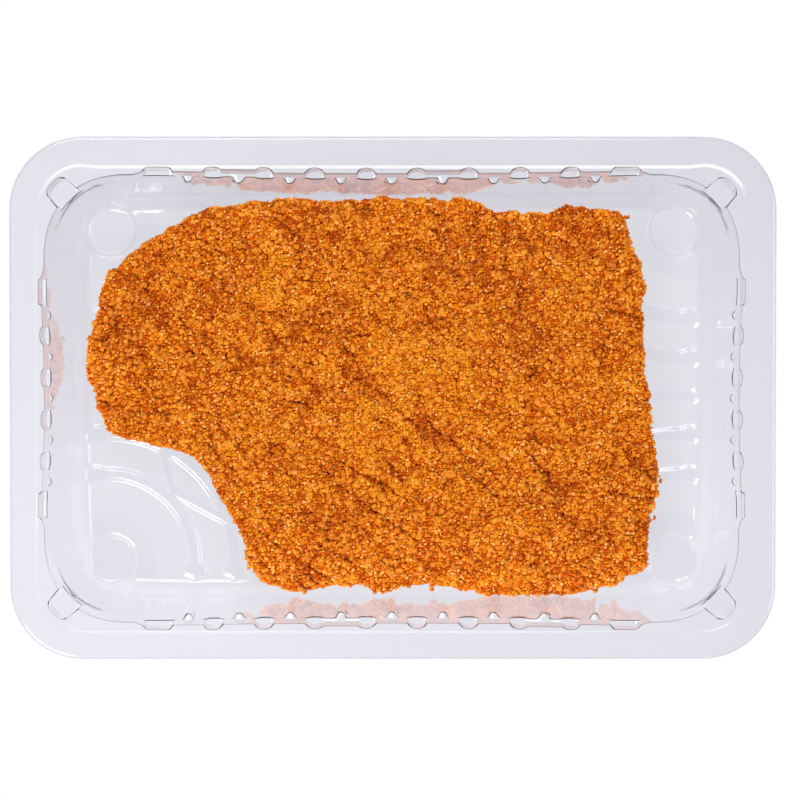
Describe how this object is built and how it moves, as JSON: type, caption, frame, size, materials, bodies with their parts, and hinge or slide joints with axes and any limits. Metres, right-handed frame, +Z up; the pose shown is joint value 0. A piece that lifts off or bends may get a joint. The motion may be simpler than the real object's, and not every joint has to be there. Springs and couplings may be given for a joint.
{
  "type": "schnitzel in tray",
  "caption": "Flat breaded schnitzel with an uneven outline and an orange crumb crust, lying in a clear ribbed plastic tray with a wide flange.",
  "frame": {"origin": "on the surface that the tray stands on, under the middle of the tray", "axes": "+X along the tray's long side, towards the schnitzel's broad end, +Y towards the schnitzel's straighter long edge, +Z up"},
  "size_m": [0.22, 0.15, 0.04],
  "materials": {
    "clear_tray": "gloss",
    "crumb_crust": "rough, crumbed"
  },
  "bodies": {
    "root": {"tray": "clear_tray", "schnitzel": "crumb_crust"}
  },
  "joints": []
}
